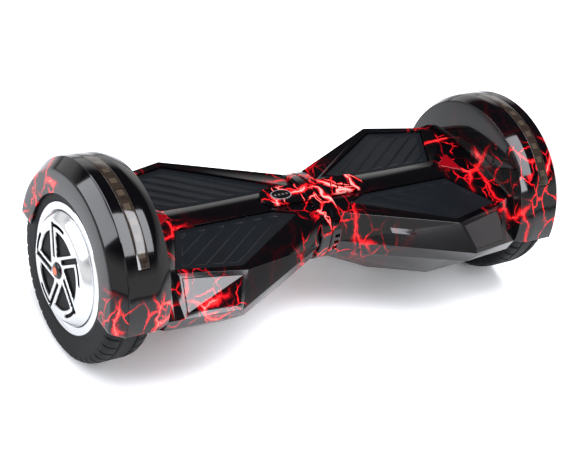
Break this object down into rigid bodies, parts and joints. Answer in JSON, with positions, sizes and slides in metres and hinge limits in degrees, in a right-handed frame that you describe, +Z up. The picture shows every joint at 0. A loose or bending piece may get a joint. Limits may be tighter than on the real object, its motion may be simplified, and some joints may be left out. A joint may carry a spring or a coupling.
{
  "type": "self balancing hoverboard",
  "caption": "Two-wheel self-balancing board: faceted foot decks joined by a twisting waist, hub-motor wheels under half-round fenders.",
  "frame": {"origin": "on the ground, midway between the wheels and midway front to rear", "axes": "+X along the board to the rider's right, +Y to the rear, +Z up"},
  "size_m": [0.612, 0.2452, 0.214],
  "materials": {
    "tyre_rubber": "moulded, matt",
    "rim_alloy": "polished",
    "hub_alloy": "machined bright",
    "gloss_black": "gloss",
    "lightning_print": "gloss clear coat over a printed pattern",
    "matt_black": "fine grain",
    "smoked_lens": "gloss",
    "red_lens": "gloss",
    "pad_rubber": "ribbed, satin",
    "steel": "turned",
    "cast_aluminium": "as cast",
    "motor_core": "wound laminations",
    "bronze": "sintered",
    "circuit": "solder mask",
    "battery_sleeve": "shrink sleeve"
  },
  "bodies": {
    "left_half": {"left_chassis": "cast_aluminium", "left_axle_clamp": "steel", "left_axle": "steel", "left_stator": "motor_core", "left_top_shell": "gloss_black", "left_bottom_shell": "gloss_black", "left_fender": "lightning_print", "left_fender_lip": "lightning_print", "left_light_strip": "smoked_lens", "left_front_lamp": "smoked_lens", "left_spine_lamp": "red_lens", "left_gyro_board": "circuit", "left_waist_cover": "lightning_print", "pivot_tube": "steel", "pivot_circlip": "steel", "twist_limit_pin": "steel", "battery_indicator": "smoked_lens", "control_board": "circuit", "speaker": "matt_black"},
    "right_half": {"right_chassis": "cast_aluminium", "right_axle_clamp": "steel", "right_axle": "steel", "right_stator": "motor_core", "right_top_shell": "gloss_black", "right_bottom_shell": "gloss_black", "right_fender": "lightning_print", "right_fender_lip": "lightning_print", "right_light_strip": "smoked_lens", "right_front_lamp": "smoked_lens", "right_spine_lamp": "red_lens", "right_gyro_board": "circuit", "right_waist_cover": "lightning_print", "pivot_bush": "bronze", "battery_pack": "battery_sleeve", "charge_port": "matt_black"},
    "left_wheel": {"left_tyre": "tyre_rubber", "left_rim": "rim_alloy", "left_hub_cover": "hub_alloy", "left_hub_cap": "gloss_black", "left_motor_cover": "rim_alloy", "left_magnet_ring": "steel", "left_outer_bearing": "steel", "left_inner_bearing": "steel"},
    "left_front_pad": {"left_front_pad": "pad_rubber"},
    "left_rear_pad": {"left_rear_pad": "pad_rubber"},
    "right_wheel": {"right_tyre": "tyre_rubber", "right_rim": "rim_alloy", "right_hub_cover": "hub_alloy", "right_hub_cap": "gloss_black", "right_motor_cover": "rim_alloy", "right_magnet_ring": "steel", "right_outer_bearing": "steel", "right_inner_bearing": "steel"},
    "right_front_pad": {"right_front_pad": "pad_rubber"},
    "right_rear_pad": {"right_rear_pad": "pad_rubber"},
    "power_button": {"power_button": "matt_black"},
    "charge_cap": {"charge_cap": "matt_black"}
  },
  "joints": [
    {"name": "waist_twist", "type": "hinge", "parent": "left_half", "child": "right_half", "pos_m": [0, 0, 0.108], "axis": [1, 0, 0], "range_deg": [-15, 15]},
    {"name": "left_wheel_spin", "type": "hinge", "parent": "left_half", "child": "left_wheel", "pos_m": [-0.2685, 0, 0.1], "axis": [1, 0, 0], "continuous": true},
    {"name": "left_front_pad_press", "type": "slide", "parent": "left_half", "child": "left_front_pad", "axis": [0, 0, -1], "range_m": [0, 0.0015], "stiffness_N_per_m": 8000},
    {"name": "left_rear_pad_press", "type": "slide", "parent": "left_half", "child": "left_rear_pad", "axis": [0, 0, -1], "range_m": [0, 0.0015], "stiffness_N_per_m": 8000},
    {"name": "right_wheel_spin", "type": "hinge", "parent": "right_half", "child": "right_wheel", "pos_m": [0.2685, 0, 0.1], "axis": [1, 0, 0], "continuous": true},
    {"name": "right_front_pad_press", "type": "slide", "parent": "right_half", "child": "right_front_pad", "axis": [0, 0, -1], "range_m": [0, 0.0015], "stiffness_N_per_m": 8000},
    {"name": "right_rear_pad_press", "type": "slide", "parent": "right_half", "child": "right_rear_pad", "axis": [0, 0, -1], "range_m": [0, 0.0015], "stiffness_N_per_m": 8000},
    {"name": "power_button_press", "type": "slide", "parent": "right_half", "child": "power_button", "axis": [0, -1, 0], "range_m": [0, 0.0015], "stiffness_N_per_m": 600},
    {"name": "charge_cap_swing", "type": "hinge", "parent": "right_half", "child": "charge_cap", "pos_m": [0.198, 0.1179, 0.1046], "axis": [1, 0, 0], "range_deg": [0, 100]}
  ]
}
